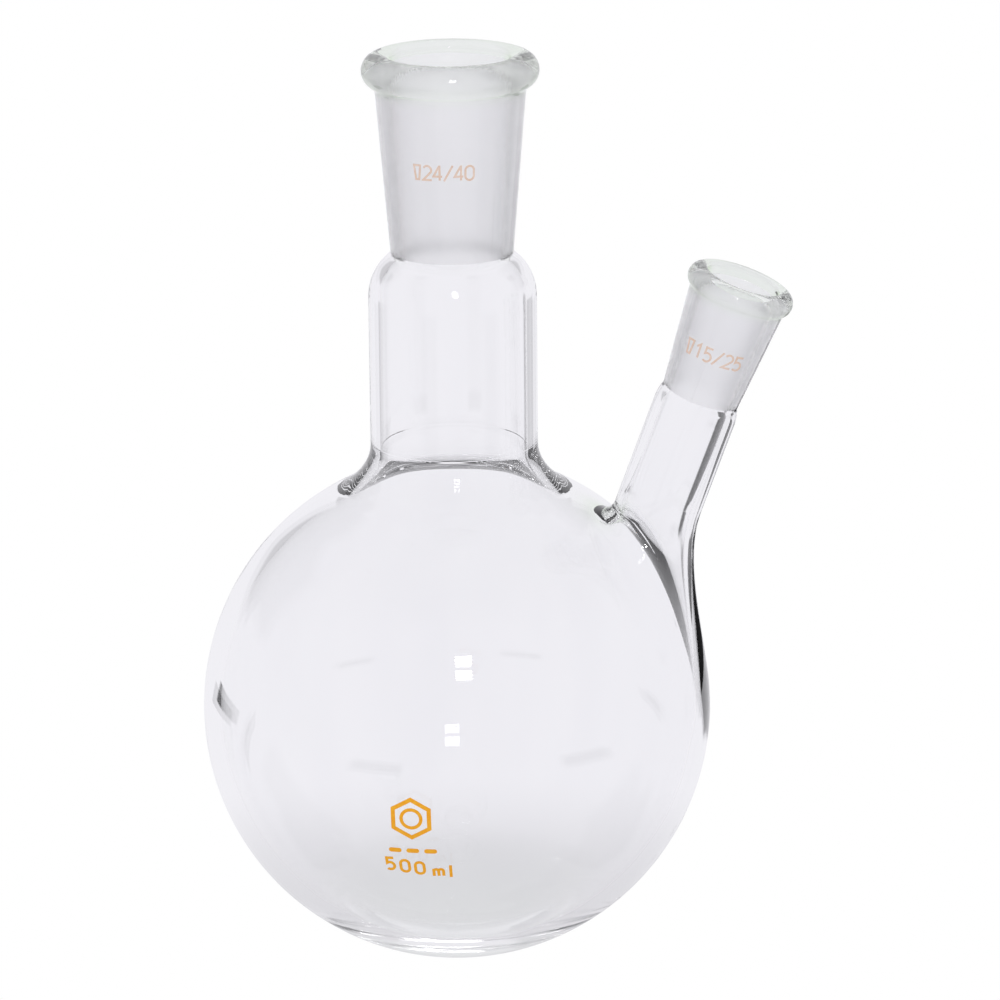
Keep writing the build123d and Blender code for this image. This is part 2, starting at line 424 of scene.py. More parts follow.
@dataclass(frozen=True)
class ClearGlass:
    """Fire-polished borosilicate: faint lavender grey, green where it is thick."""

    name: str = "clear_glass"
    thin: tuple = (0.99, 0.99, 0.993)
    streak: tuple = (0.976, 0.976, 0.982)
    thick: tuple = (0.50, 0.74, 0.36)
    face_on: float = 0.25  # share of the thick colour that shows face on
    cord_scale: tuple = (60, 60, 9)  # streaks drawn out along the flask, per metre
    cord_depth: float = 0.0004
    cord_rough: float = 0.012

    def make(self) -> bpy.types.Material:
        """Builds the material.

        Returns:
            The new material.
        """
        material = bpy.data.materials.new(self.name)
        desk = Desk(material)
        cords = desk.drawn_noise(desk.place(), self.cord_scale, 2.0)
        streaks = cords.ramp(0.42, 0.68)
        tint = streaks.blend(self.thin, self.streak)
        depth = desk.node("ShaderNodeAttribute", {"attribute_name": THICK}, None, "Fac")
        edge = desk.node("ShaderNodeLayerWeight", None, {"Blend": 0.5}, "Facing")
        green = depth * (self.face_on + edge.ramp(0.45, 0.9) * (1 - self.face_on))
        values = {
            "Base Color": green.blend(tint, self.thick),
            "Roughness": streaks * self.cord_rough,
            "IOR": GLASS_IOR,
            "Transmission Weight": 1.0,
            "Normal": desk.relief(cords, 0.12, self.cord_depth),
        }
        desk.finish(desk.node("ShaderNodeBsdfPrincipled", None, values))
        return material


@dataclass(frozen=True)
class GroundGlass:
    """The bore of a socket, ground with fine abrasive to a milky, rough skin."""

    name: str = "ground_glass"
    pale: tuple = (0.995, 0.995, 1.0)
    worn: tuple = (0.975, 0.977, 0.987)
    ring_scale: tuple = (90, 90, 900)  # scores round the bore, per metre
    band_scale: tuple = (170, 170, 12)  # faint bands up it
    grain_scale: float = 5200.0
    grain_depth: float = 0.00006
    transmission: float = 0.88
    roughness: float = 0.31

    def make(self) -> bpy.types.Material:
        """Builds the material.

        Returns:
            The new material.
        """
        material = bpy.data.materials.new(self.name)
        desk = Desk(material)
        place = desk.place()
        scored = desk.drawn_noise(place, self.ring_scale, 3.0)
        banding = desk.drawn_noise(place, self.band_scale, 2.0)
        grain = desk.noise(place, self.grain_scale, 2.0)
        values = {
            "Base Color": banding.ramp(0.35, 0.7).blend(self.pale, self.worn),
            "Roughness": self.roughness + scored * 0.12,
            "IOR": GLASS_IOR,
            "Transmission Weight": self.transmission,
            "Normal": desk.relief(grain + scored * 0.6, 0.35, self.grain_depth),
        }
        desk.finish(desk.node("ShaderNodeBsdfPrincipled", None, values))
        return material


@dataclass(frozen=True)
class FusedSeam:
    """The flat ring where two blanks were fused, through which light passes straight."""

    name: str = "fused_seam"

    def make(self) -> bpy.types.Material:
        """Builds the material.

        Returns:
            The new material.
        """
        material = bpy.data.materials.new(self.name)
        desk = Desk(material)
        desk.finish(desk.node("ShaderNodeBsdfTransparent", None, {"Color": (1, 1, 1)}))
        return material


@dataclass(frozen=True)
class Enamel:
    """Fired glass colour, a little uneven in depth where the screen laid it down."""

    name: str
    full: tuple
    thin: tuple
    roughness: float
    lay_scale: float = 900.0  # clouds of thick and thin print, per metre
    speck_scale: float = 4200.0
    speck_depth: float = 0.00003

    def make(self) -> bpy.types.Material:
        """Builds the material.

        Returns:
            The new material.
        """
        material = bpy.data.materials.new(self.name)
        desk = Desk(material)
        place = desk.place()
        lay = desk.noise(place, self.lay_scale, 3.0)
        specks = desk.noise(place, self.speck_scale, 2.0)
        patchy = (lay * 0.7 + specks * 0.3).ramp(0.4, 0.68)
        values = {
            "Base Color": patchy.blend(self.full, self.thin),
            "Roughness": self.roughness + patchy * 0.15,
            "Specular IOR Level": 0.3,
            "Coat Weight": 0.12,
            "Coat Roughness": 0.2,
            "Normal": desk.relief(specks, 0.2, self.speck_depth),
        }
        desk.finish(desk.node("ShaderNodeBsdfPrincipled", None, values))
        return material


@dataclass
class Finishes:
    """Every material of the flask."""

    clear: bpy.types.Material
    ground: bpy.types.Material
    seam: bpy.types.Material
    tan: bpy.types.Material
    amber: bpy.types.Material

    @classmethod
    def make(cls) -> "Finishes":
        """Builds each of them once.

        Returns:
            The set that every piece is dressed from.
        """
        tan = Enamel("tan_enamel", (0.74, 0.55, 0.43), (0.79, 0.64, 0.55), roughness=0.45)
        amber = Enamel("amber_enamel", (0.82, 0.34, 0.0), (0.84, 0.42, 0.015), roughness=0.32)
        return cls(
            clear=ClearGlass().make(),
            ground=GroundGlass().make(),
            seam=FusedSeam().make(),
            tan=tan.make(),
            amber=amber.make(),
        )


# ---- Glass ---------------------------------------------------------------
def round_union(a: np.ndarray, b: np.ndarray, fillet: np.ndarray | float) -> np.ndarray:
    """Joins two shapes with a fillet in the corner between them.

    Args:
        a: How far each point lies outside the first shape.
        b: How far it lies outside the second.
        fillet: Radius of the fillet.

    Returns:
        How far each point lies outside the joined shape.
    """
    near = np.hypot(np.maximum(fillet - a, 0), np.maximum(fillet - b, 0))
    return np.maximum(fillet, np.minimum(a, b)) - near


@dataclass(frozen=True)
class Cavity:
    """The inside of a ball with a heavy bottom: a flatter dish with a fillet round it."""

    centre: float  # height of the ball's middle
    ball_r: float
    dish_rise: float  # height of the dish's lowest point
    dish_r: float
    fillet: float

    def distance(self, away: np.ndarray, height: np.ndarray) -> np.ndarray:
        """How far outside the cavity a point lies.

        Args:
            away: Distance of each point from the axis.
            height: Height of each point.

        Returns:
            Millimetres, less than nought inside.
        """
        dish_centre = self.dish_rise + self.dish_r
        gap = dish_centre - self.centre
        ball_reach, dish_reach = self.ball_r - self.fillet, self.dish_r - self.fillet
        drop = (gap**2 - dish_reach**2 + ball_reach**2) / (2 * gap)
        out = sqrt(ball_reach**2 - drop**2)
        x, y = away - out, height - self.centre - drop
        under = y < 0
        past_dish = out * y - (self.centre + drop - dish_centre) * x > 0
        before_ball = drop * x - out * y > 0
        ball = np.hypot(away, height - self.centre) - self.ball_r
        dish = np.hypot(away, height - dish_centre) - self.dish_r
        corner = np.hypot(x, y) - self.fillet
        zones = [past_dish & before_ball & under, ~past_dish & under]
        return np.select(zones, [corner, dish], ball)


@dataclass(frozen=True)
class Branch:
    """Where the side neck stands, and how its root flares into the ball."""

    tilt: float = radians(20)
    offset: float = 26.0  # where the side axis passes the height of the ball's middle
    crown: float = 48.0  # along the side axis, where the flare starts
    flare_steps: int = 30
    hem_tilt: float = radians(51.5)  # the flare's hem is a circle round this direction
    hem_width: float = radians(23.5)
    hem_gap: float = radians(1.1)  # between the flare's last ring and the hole's edge
    crotch_root: float = 4.0  # fillet on the side of the centre neck
    outer_root: float = 14.5  # fillet on the far side
    crotch_out: float = 1.5  # the thickest glass of the crotch, out from the side neck
    crotch_up: float = 39.5  # and along its axis

    def axis(self, ball_centre: float) -> TurningAxis:
        """The side neck's axis."""
        along = Vector((sin(self.tilt), 0, cos(self.tilt)))
        across = Vector((cos(self.tilt), 0, -sin(self.tilt)))
        return TurningAxis(Vector((self.offset, 0, ball_centre)), along, across)

    @property
    def hem_middle(self) -> Vector:
        """The direction from the ball's centre to the middle of the hem."""
        return Vector((sin(self.hem_tilt), 0, cos(self.hem_tilt)))


@dataclass(frozen=True)
class Skin:
    """One skin of the blown bulb, as a distance that is nought on the glass.

    The inner skin has a cavity with a heavy bottom. The outer skin is a plain ball.
    """

    axis: TurningAxis
    ball_r: float
    neck_r: float
    side_r: float
    neck_root: float
    crotch_root: float
    outer_root: float
    ball_centre: float
    cavity: Cavity | None = None

    def distance(self, points: np.ndarray) -> np.ndarray:
        """How far outside the skin each point lies.

        Args:
            points: N by 3 places.

        Returns:
            Millimetres, less than nought inside.
        """
        round_neck = np.hypot(points[:, 0], points[:, 1])
        body = np.hypot(round_neck, points[:, 2] - self.ball_centre) - self.ball_r
        if self.cavity:
            body = self.cavity.distance(round_neck, points[:, 2])
        stem = round_neck - self.neck_r
        stem = np.where(points[:, 2] > self.ball_centre, stem, FAR)
        across, front, along = self.axis.split(points)
        away = np.hypot(across, front)
        lean = 0.5 + 0.5 * across / np.maximum(away, MM)
        lean = lean * lean * (3 - 2 * lean)
        root = self.crotch_root + (self.outer_root - self.crotch_root) * lean
        side = np.where(along > 0, away - self.side_r, FAR)
        return round_union(round_union(body, stem, self.neck_root), side, root)

    def slope(self, points: np.ndarray) -> np.ndarray:
        """Which way the distance grows.

        Args:
            points: N by 3 places.

        Returns:
            One direction for each, with the rate of growth as its length.
        """
        step = 1e-3
        sides = [
            self.distance(points + offset) - self.distance(points - offset)
            for offset in np.eye(3) * step
        ]
        return np.stack(sides, axis=1) / (2 * step)

    def settle(self, points: np.ndarray, rounds: int = 14) -> np.ndarray:
        """Moves points onto the skin.

        Args:
            points: N by 3 places near it.
            rounds: How many times each point is corrected.

        Returns:
            The places on the skin.
        """
        flattest = 0.05
        for _ in range(rounds):
            slope = self.slope(points)
            size = np.maximum((slope**2).sum(axis=1), flattest)
            points = points - slope * (self.distance(points) / size)[:, None]
        return points

    def facing(self, points: np.ndarray) -> np.ndarray:
        """The skin's own outward normals."""
        slope = self.slope(points)
        return slope / np.linalg.norm(slope, axis=1)[:, None]


@dataclass
class Bulb:
    """The blown ball, with the root of each neck drawn out of it."""

    branch: Branch
    radius: float
    neck_seam: float
    neck_r: float
    wall: float = 3.5
    neck_wall: float = 2.2
    side_r: float = 8.65
    side_wall: float = 1.9
    side_seam: float = 50.0  # along the side axis
    neck_root: float = 6.4  # fillet round the foot of the centre neck
    root_growth: float = 2.6  # a side fillet's extra radius on the inner skin
    dish_rise: float = 8.0
    dish_r: float = 95.0
    dish_fillet: float = 18.0
    steps: int = 192
    side_steps: int = 128
    pitch: float = 1.3
    crotch_spread: float = 5.0  # how far the green of the crotch reaches
    heavy_top: float = 14.0  # height under which the heavy bottom looks greener
    heavy_share: float = 0.35

    @property
    def axis(self) -> TurningAxis:
        """The centre neck's axis, which the ball is blown on."""
        return TurningAxis(Vector(), Vector((0, 0, 1)), Vector((1, 0, 0)))

    @property
    def centre(self) -> Vector:
        """The middle of the ball, which rests on the table at one point."""
        return Vector((0, 0, self.radius))

    @property
    def outside(self) -> Skin:
        """The outer skin.

        Returns:
            A plain ball, with the outsides of the two necks' roots.
        """
        return Skin(
            axis=self.branch.axis(self.radius),
            ball_r=self.radius,
            neck_r=self.neck_r,
            side_r=self.side_r,
            neck_root=self.neck_root,
            crotch_root=self.branch.crotch_root,
            outer_root=self.branch.outer_root,
            ball_centre=self.radius,
        )

    @property
    def inside(self) -> Skin:
        """The inner skin.

        Returns:
            The heavy-bottomed cavity, with the bores of the two necks' roots.
        """
        ball_r = self.radius - self.wall
        return Skin(
            axis=self.branch.axis(self.radius),
            ball_r=ball_r,
            neck_r=self.neck_r - self.neck_wall,
            side_r=self.side_r - self.side_wall,
            neck_root=self.neck_root + self.neck_wall,
            crotch_root=self.branch.crotch_root + self.root_growth,
            outer_root=self.branch.outer_root + self.root_growth,
            ball_centre=self.radius,
            cavity=Cavity(self.radius, ball_r, self.dish_rise, self.dish_r, self.dish_fillet),
        )

    def _ball(self) -> bpy.types.Object:
        """Turns the outer skin of the ball with the centre neck's stub.

        Returns:
            The skin, with a round hole where the side neck's flare goes.
        """
        reach = self.radius + self.neck_root
        root_x = self.neck_r + self.neck_root
        root_y = self.radius + sqrt(reach**2 - root_x**2)
        root = Vector((root_x, root_y))
        middle = Vector((0, self.radius))
        outline = Outline(0, 0, self.pitch)
        outline.arc(middle, middle.lerp(root, self.radius / reach), Turn.LEFT)
        outline.arc(root, Vector((self.neck_r, root_y)), Turn.RIGHT)
        outline.line(self.neck_r, self.neck_seam)
        piece = Lathe(self.axis, self.steps).turn("bulb_glass", outline, ring=False)
        toward = self.branch.hem_middle
        margin = 0.6  # keeps the cut clear of the centre neck's root
        root_foot = self.radius * (1 + cos(asin(root_x / reach)))
        middles = face_centres(piece)
        low = middles[:, 2] < root_foot - margin
        facing = (middles - np.array(self.centre)) @ np.array(toward) > 0
        pick(piece, "FACE", low & facing)
        cut = self.centre + toward * self.radius * cos(self.branch.hem_width)
        bpy.ops.mesh.bisect(plane_co=cut * MM, plane_no=toward, clear_outer=True)
        bpy.ops.object.mode_set(mode="OBJECT")
        return piece

    def _flare(self) -> bpy.types.Object:
        """Turns the side neck's stub and leads its lower rings out onto the ball.

        Returns:
            The flare's outer skin, which ends just inside the ball's hole.
        """
        branch, axis = self.branch, self.branch.axis(self.radius)
        ring_pitch = 1.0  # so that each of the flare's steps has a ring
        outline = Outline(self.side_r, self.side_seam, ring_pitch)
        outline.line(self.side_r, branch.crown)
        outline.line(self.side_r, branch.crown - branch.flare_steps)
        piece = Lathe(axis, self.side_steps).turn("side_root", outline, ring=False)
        points = places(piece)
        across, front, along = axis.split(points)
        share = np.clip((branch.crown - along) / branch.flare_steps, 0, 1)[:, None]
        swing = np.arctan2(front, across)[:, None]
        spoke = np.cos(swing) * np.array(axis.across) + np.sin(swing) * np.array(axis.front)
        rail = np.array(axis.origin) + spoke * self.side_r
        crown = rail + np.array(axis.along) * branch.crown
        centre = np.array(self.centre)
        lead = (rail - centre) @ np.array(axis.along)
        spread = ((rail - centre) ** 2).sum(axis=1) - self.radius**2
        reach = (-lead + np.sqrt(lead**2 - spread))[:, None]
        corner = rail + np.array(axis.along) * reach
        toward = branch.hem_middle
        down = Vector((toward.z, 0, -toward.x))
        width = branch.hem_width - branch.hem_gap
        rim = np.cos(swing) * np.array(down) + np.sin(swing) * np.array(axis.front)
        hem = centre + self.radius * (cos(width) * np.array(toward) + sin(width) * rim)
        led = (1 - share) ** 2 * crown + 2 * share * (1 - share) * corner + share**2 * hem
        put(piece, np.where(share > 0, led, points))
        return piece

    def _bridge(self, piece: bpy.types.Object) -> None:
        """Fills the gap between the ball's hole and the flare's hem.

        Args:
            piece: The ball and the flare, joined.
        """
        hair = 0.01  # radians past the hole's own edge
        stub = 2.0  # how far off the ball the other open rings begin
        loose, middles = open_edges(piece)
        from_centre = middles - np.array(self.centre)
        away = np.linalg.norm(from_centre, axis=1)
        along = from_centre @ np.array(self.branch.hem_middle) / away
        near_hem = np.arccos(along) < self.branch.hem_width + hair
        pick(piece, "EDGE", loose & near_hem & (away <= self.radius + stub))
        bpy.ops.mesh.bridge_edge_loops()
        bpy.ops.mesh.select_all(action="SELECT")
        bpy.ops.mesh.normals_make_consistent(inside=False)
        bpy.ops.object.mode_set(mode="OBJECT")

    def build(self, finishes: Finishes) -> bpy.types.Object:
        """Makes the bulb.

        Args:
            finishes: The materials.

        Returns:
            The finished piece.
        """
        piece, flare = self._ball(), self._flare()
        take(piece)
        flare.select_set(True)
        bpy.ops.object.join()
        self._bridge(piece)
        put(piece, self.outside.settle(places(piece)))
        outer = len(piece.data.vertices)
        thicken = piece.modifiers.new("wall", "SOLIDIFY")
        thicken.thickness = self.neck_wall * MM
        thicken.offset = -1
        take(piece)
        bpy.ops.object.modifier_apply(modifier=thicken.name)
        points = places(piece)
        points[outer:] = self.inside.settle(points[outer:])
        put(piece, points)
        bpy.ops.object.shade_smooth()
        self._true_normals(piece, outer)
        self._dress(piece, outer, finishes)
        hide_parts("bulb")
        return piece

    def _true_normals(self, piece: bpy.types.Object, outer: int) -> None:
        """Gives both skins their exact normals, and the rims at the seams flat ones.

        Args:
            piece: The bulb.
            outer: How many of its vertices, the first ones, are on the outer skin.
        """
        points = places(piece)
        skin = np.concatenate(
            [self.outside.facing(points[:outer]), -self.inside.facing(points[outer:])]
        )
        mesh = piece.data
        corner = np.empty(len(mesh.loops), int)
        mesh.loops.foreach_get("vertex_index", corner)
        normals = skin[corner]
        for face in mesh.polygons:
            sides = {v < outer for v in face.vertices}
            if len(sides) == 2:
                normals[face.loop_start : face.loop_start + face.loop_total] = face.normal
        mesh.normals_split_custom_set(normals.tolist())

    def _dress(self, piece: bpy.types.Object, outer: int, finishes: Finishes) -> None:
        """Assigns the materials, and marks where the glass is thick.

        Args:
            piece: The bulb.
            outer: How many of its vertices, the first ones, are on the outer skin.
            finishes: The materials.
        """
        mesh = piece.data
        mesh.materials.append(finishes.clear)
        mesh.materials.append(finishes.seam)
        for face in mesh.polygons:
            face.material_index = int(len({v < outer for v in face.vertices}) == 2)
        points = places(piece)
        branch = self.branch
        crotch = branch.axis(self.radius).point(-self.side_r - branch.crotch_out, branch.crotch_up)
        apart = ((points - np.array(crotch)) ** 2).sum(axis=1)
        near = np.exp(-apart / self.crotch_spread**2)
        heavy = np.clip(1 - points[:, 2] / self.heavy_top, 0, 1) * self.heavy_share
        mark_thick(piece, np.clip(near + heavy, 0, 1))


def mark_thick(piece: bpy.types.Object, depth: np.ndarray) -> None:
    """Stores how thick the glass looks at each vertex, from nought to one."""
    layer = piece.data.attributes.new(THICK, "FLOAT", "POINT")
    layer.data.foreach_set("value", depth.astype(np.float32))


@dataclass
class Neck:
    """A length of tube with a rounded shoulder, from the bulb's stub up to its socket."""

    name: str
    node: str
    axis: TurningAxis
    radius: float
    wall: float
    seam: float  # height of the fused ring at its foot
    shoulder: float  # height at which it begins to turn in
    socket: "Socket"
    steps: int
    pitch: float = 1.2

    def build(self, finishes: Finishes) -> bpy.types.Object:
        """Makes the neck.

        Args:
            finishes: The materials.

        Returns:
            The finished piece.
        """
        rise = self.socket.seam - self.shoulder
        turn_in = self.radius - self.socket.foot_r
        bend = (rise**2 + turn_in**2) / (2 * turn_in)
        centre = Vector((self.radius - bend, self.shoulder))
        bore = self.socket.bore_r(self.socket.seam)
        inner_rise = sqrt((bend - self.wall) ** 2 - (bore - centre.x) ** 2)
        outline = Outline(self.radius, self.seam, self.pitch)
        outline.line(self.radius, self.shoulder)
        outline.arc(centre, Vector((self.socket.foot_r, self.socket.seam)), Turn.LEFT)
        outline.line(bore, self.socket.seam)
        outline.line(bore, self.shoulder + inner_rise)
        outline.arc(centre, Vector((self.radius - self.wall, self.shoulder)), Turn.RIGHT)
        outline.line(self.radius - self.wall, self.seam)
        outline.line(self.radius, self.seam)
        outline.points.pop()
        piece = Lathe(self.axis, self.steps).turn(self.name, outline, ring=True)
        dress_turned(piece, self.axis, (self.seam, self.socket.seam), finishes, None)
        mark_thick(piece, np.zeros(len(piece.data.vertices)))
        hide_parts(self.node)
        return piece


@dataclass
class Socket:
    """A ground taper socket with a bead round its mouth."""

    name: str
    node: str
    axis: TurningAxis
    seam: float  # height of the fused ring at its foot
    ground_d: float  # bore at the ground zone's wide end
    ground_length: float
    foot_wall: float
    head_wall: float
    bead_r: float
    bead_x: float  # from the axis to the middle of the bead's section
    steps: int
    lip_rise: float = 1.2  # from the ground zone's end to the very top
    taper: float = 0.1
    throat_share: float = 1 / 2  # radius of the hollow under the bead, as part of the bead's
    lip_share: float = 1 / 3  # radius of the lip's inner edge, in the same way
    ground_margin: float = 0.2  # how near the bore's line a ground face lies
    pitch: float = 0.8
    bead_pitch: float = 0.35
    green: float = 0.8  # how green the middle of the bead looks
    green_reach: float = 1.6  # bead radii from its middle at which the green is gone

    @property
    def bead(self) -> Vector:
        """Middle of the bead's section."""
        return Vector(
            (self.bead_x, self.seam + self.ground_length + self.lip_rise - self.bead_r)
        )

    def bore_r(self, height: float | np.ndarray) -> float | np.ndarray:
        """Radius of the ground bore at a height, or at each of many."""
        return (self.ground_d - (self.seam + self.ground_length - height) * self.taper) / 2

    @property
    def foot_r(self) -> float:
        """Outer radius at the seam."""
        return self.bore_r(self.seam) + self.foot_wall

    def _beside(
        self, start: Vector, along: Vector, side: Vector, fillet: float, reach: float, end: int
    ) -> Vector:
        """Finds the centre of a fillet that touches a straight wall and the bead.

        Args:
            start: A point of the wall.
            along: The wall's direction, upwards.
            side: The direction from the wall to the fillet's centre.
            fillet: The fillet's radius.
            reach: How far its centre is from the bead's.
            end: One for the centre above the bead's, and minus one for the one below.

        Returns:
            The centre, as radius and height.
        """
        away = (self.bead - start) @ side - fillet
        run = (self.bead - start) @ along + end * sqrt(reach**2 - away**2)
        return start + along * run + side * fillet

    def build(self, finishes: Finishes) -> bpy.types.Object:
        """Makes the socket.

        Args:
            finishes: The materials.

        Returns:
            The finished piece.
        """
        bead = self.bead
        foot = Vector((self.foot_r, self.seam))
        head = Vector((self.bore_r(bead.y) + self.head_wall, bead.y))
        up = (head - foot).normalized()
        out = Vector((up.y, -up.x))
        throat = self.bead_r * self.throat_share
        hollow = self._beside(foot, up, out, throat, self.bead_r + throat, -1)
        bore = Vector((self.bore_r(self.seam), self.seam))
        rise = Vector((self.taper / 2, 1)).normalized()
        into = Vector((rise.y, -rise.x))
        lip = self.bead_r * self.lip_share
        round_off = self._beside(bore, rise, into, lip, self.bead_r - lip, 1)
        outline = Outline(foot.x, foot.y, self.pitch)
        outline.line(*(hollow - out * throat))
        outline.pitch = self.bead_pitch
        outline.arc(hollow, hollow.lerp(bead, throat / (throat + self.bead_r)), Turn.RIGHT)
        outline.arc(bead, bead + (round_off - bead).normalized() * self.bead_r, Turn.LEFT)
        outline.arc(round_off, round_off - into * lip, Turn.LEFT)
        outline.pitch = self.pitch
        outline.line(*bore)
        outline.line(*foot)
        outline.points.pop()
        piece = Lathe(self.axis, self.steps).turn(self.name, outline, ring=True)
        dress_turned(piece, self.axis, (self.seam,), finishes, self)
        across, front, along = self.axis.split(places(piece))
        away = np.hypot(np.hypot(across, front) - bead.x, along - bead.y)
        mark_thick(piece, np.clip(self.green_reach - away / self.bead_r, 0, 1) * self.green)
        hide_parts(self.node)
        return piece


def dress_turned(
    piece: bpy.types.Object, axis: TurningAxis, seams: tuple[float, ...],
    finishes: Finishes, socket: Socket | None,
) -> None:
    """Smooths a turned piece and gives each zone its finish.

    Args:
        piece: The piece.
        axis: What it was turned about.
        seams: Heights of its fused rings.
        finishes: The materials.
        socket: The socket whose bore is ground, if the piece is one.
    """
    take(piece)
    bpy.ops.object.shade_smooth_by_angle(angle=SMOOTH_ANGLE)
    for material in (finishes.clear, finishes.seam, finishes.ground):
        piece.data.materials.append(material)
    clear, seam_ring, ground = range(3)
    across, front, along = axis.split(face_centres(piece))
    zone = np.full(len(along), clear)
    for seam in seams:
        zone[np.isclose(along, seam, rtol=0, atol=0.01)] = seam_ring
    if socket:
        away = np.hypot(across, front)
        top = socket.seam + socket.ground_length - socket.lip_rise
        bored = np.abs(away - socket.bore_r(along)) < socket.ground_margin
        zone[bored & (along < top) & (zone == clear)] = ground
    piece.data.polygons.foreach_set("material_index", zone)


# ---- Studio --------------------------------------------------------------
@dataclass(frozen=True)
class Card:
    """A card beside the set, that stands again at every quarter turn round the flask."""

    start: float  # headings, from straight back and growing to the right, in degrees
    end: float
    foot: float  # heights above the level, in degrees
    head: float
    soft: float = 1.5  # how far its top and foot blur
    side_soft: float = 1.2

    def facing(self, heading: Wire) -> Wire:
        """One within the card's headings, and nought beside it."""
        start, end = radians(self.start), radians(self.end)
        middle = (start + end) / 2
        turned = {0: heading, 1: middle + pi / 4, 2: middle - pi / 4}
        near = heading.desk.node("ShaderNodeMath", {"operation": "WRAP"}, turned)
        return near.between(start, end, radians(self.side_soft))

    def rising(self, height: Wire) -> Wire:
        """One within the card's heights, and nought above and below it."""
        return height.between(radians(self.foot), radians(self.head), radians(self.soft))


